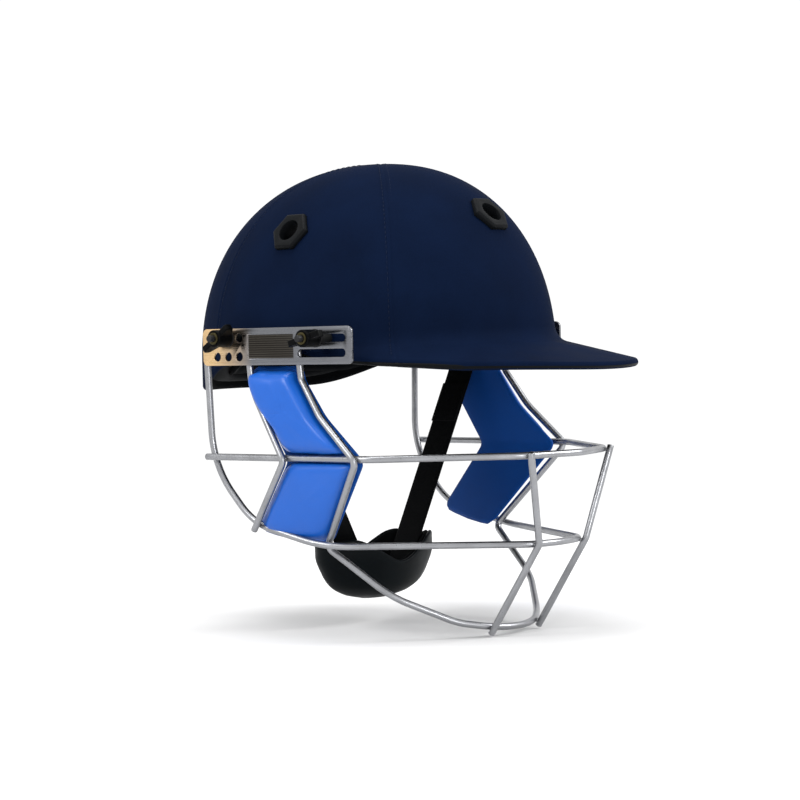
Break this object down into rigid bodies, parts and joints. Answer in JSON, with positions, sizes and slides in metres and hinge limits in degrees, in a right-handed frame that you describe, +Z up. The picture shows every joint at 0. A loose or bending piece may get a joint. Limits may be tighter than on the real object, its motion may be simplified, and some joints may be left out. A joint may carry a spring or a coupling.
{
  "type": "cricket batting helmet",
  "caption": "Cricket batting helmet: cloth covered shell with a peak, padded inside, bent rod face guard on slotted side plates, and a chin strap with a cup.",
  "frame": {"origin": "on the centre plane under the crown, midway along the dome, level with the side rim", "axes": "+Z up through the crown, -Y to the front over the peak, -X to the wearer's right"},
  "size_m": [0.243, 0.305, 0.2901],
  "materials": {
    "cloth": "close-woven navy cloth",
    "shell_plastic": "matt black",
    "foam": "closed-cell foam",
    "comfort_cloth": "knitted cloth over foam",
    "vent_plastic": "moulded, satin",
    "guard_steel": "satin",
    "plate_steel": "brushed along the plate",
    "bolt_steel": "zinc plated",
    "insert_brass": "turned",
    "nut_plastic": "moulded, half gloss",
    "spacer_rubber": "matt",
    "pad_cloth": "smooth coated cloth over foam",
    "webbing": "woven webbing",
    "cup_plastic": "matt moulded",
    "cup_cloth": "knitted cloth over foam",
    "slider_plastic": "moulded",
    "rivet_metal": "black lacquer"
  },
  "bodies": {
    "helmet": {"shell": "shell_plastic", "cloth_cover": "cloth", "impact_liner": "foam", "front_sweatband": "comfort_cloth", "side_pad_right": "comfort_cloth", "side_pad_left": "comfort_cloth", "rear_pad": "comfort_cloth", "crown_pad": "comfort_cloth", "vent_front": "vent_plastic", "vent_rear": "vent_plastic", "vent_right": "vent_plastic", "vent_left": "vent_plastic", "vent_lock_rings": "vent_plastic", "plate_bolts": "bolt_steel", "plate_spacers": "spacer_rubber", "strap_rivets": "rivet_metal"},
    "guard": {"side_plate_right": "plate_steel", "side_plate_left": "plate_steel", "upper_ring": "guard_steel", "lower_ring": "guard_steel", "chin_loop": "guard_steel", "rear_cheek_rod_right": "guard_steel", "rear_cheek_rod_left": "guard_steel", "front_bar_right": "guard_steel", "front_bar_left": "guard_steel", "cheek_pad_right": "pad_cloth", "cheek_pad_left": "pad_cloth"},
    "chin_strap": {"chin_strap_right": "webbing", "chin_strap_left": "webbing", "chin_cup": "cup_plastic", "cup_lining": "cup_cloth"},
    "strap_slider": {"strap_slider": "slider_plastic"},
    "washer_rear_right": {"nut_washer_rear_right": "bolt_steel"},
    "nut_rear_right": {"wing_nut_rear_right": "nut_plastic", "nut_insert_rear_right": "insert_brass"},
    "washer_rear_left": {"nut_washer_rear_left": "bolt_steel"},
    "nut_rear_left": {"wing_nut_rear_left": "nut_plastic", "nut_insert_rear_left": "insert_brass"},
    "washer_front_right": {"nut_washer_front_right": "bolt_steel"},
    "nut_front_right": {"wing_nut_front_right": "nut_plastic", "nut_insert_front_right": "insert_brass"},
    "washer_front_left": {"nut_washer_front_left": "bolt_steel"},
    "nut_front_left": {"wing_nut_front_left": "nut_plastic", "nut_insert_front_left": "insert_brass"}
  },
  "joints": [
    {"name": "guard_tilt", "type": "hinge", "parent": "helmet", "child": "guard", "pos_m": [0, 0.0368, 0.0166], "axis": [1, 0, 0], "range_deg": [-0.3, 0.3]},
    {"name": "chin_strap_swing", "type": "hinge", "parent": "helmet", "child": "chin_strap", "pos_m": [0, 0.0095, 0.006], "axis": [1, 0, 0], "range_deg": [-20, 50]},
    {"name": "strap_slider_slide", "type": "slide", "parent": "chin_strap", "child": "strap_slider", "axis": [0.4897, 0, -0.8719], "range_m": [-0.012, 0.012]},
    {"name": "nut_travel_rear_right", "type": "slide", "parent": "helmet", "child": "washer_rear_right", "axis": [-1, 0, 0], "range_m": [0, 0.0021]},
    {"name": "nut_turn_rear_right", "type": "hinge", "parent": "washer_rear_right", "child": "nut_rear_right", "pos_m": [-0.1105, 0.0368, 0.0166], "axis": [-1, 0, 0], "range_deg": [0, 1080]},
    {"name": "nut_travel_rear_left", "type": "slide", "parent": "helmet", "child": "washer_rear_left", "axis": [1, 0, 0], "range_m": [0, 0.0021]},
    {"name": "nut_turn_rear_left", "type": "hinge", "parent": "washer_rear_left", "child": "nut_rear_left", "pos_m": [0.1105, 0.0368, 0.0166], "axis": [1, 0, 0], "range_deg": [0, 1080]},
    {"name": "nut_travel_front_right", "type": "slide", "parent": "helmet", "child": "washer_front_right", "axis": [-1, 0, 0], "range_m": [0, 0.0021]},
    {"name": "nut_turn_front_right", "type": "hinge", "parent": "washer_front_right", "child": "nut_front_right", "pos_m": [-0.1105, -0.0346, 0.0155], "axis": [-1, 0, 0], "range_deg": [0, 1080]},
    {"name": "nut_travel_front_left", "type": "slide", "parent": "helmet", "child": "washer_front_left", "axis": [1, 0, 0], "range_m": [0, 0.0021]},
    {"name": "nut_turn_front_left", "type": "hinge", "parent": "washer_front_left", "child": "nut_front_left", "pos_m": [0.1105, -0.0346, 0.0155], "axis": [1, 0, 0], "range_deg": [0, 1080]}
  ],
  "couplings": [
    {"joint": "nut_turn_rear_right", "follows": "nut_travel_rear_right", "rad_per_m": 8976},
    {"joint": "nut_turn_rear_left", "follows": "nut_travel_rear_left", "rad_per_m": 8976},
    {"joint": "nut_turn_front_right", "follows": "nut_travel_front_right", "rad_per_m": 8976},
    {"joint": "nut_turn_front_left", "follows": "nut_travel_front_left", "rad_per_m": 8976}
  ]
}
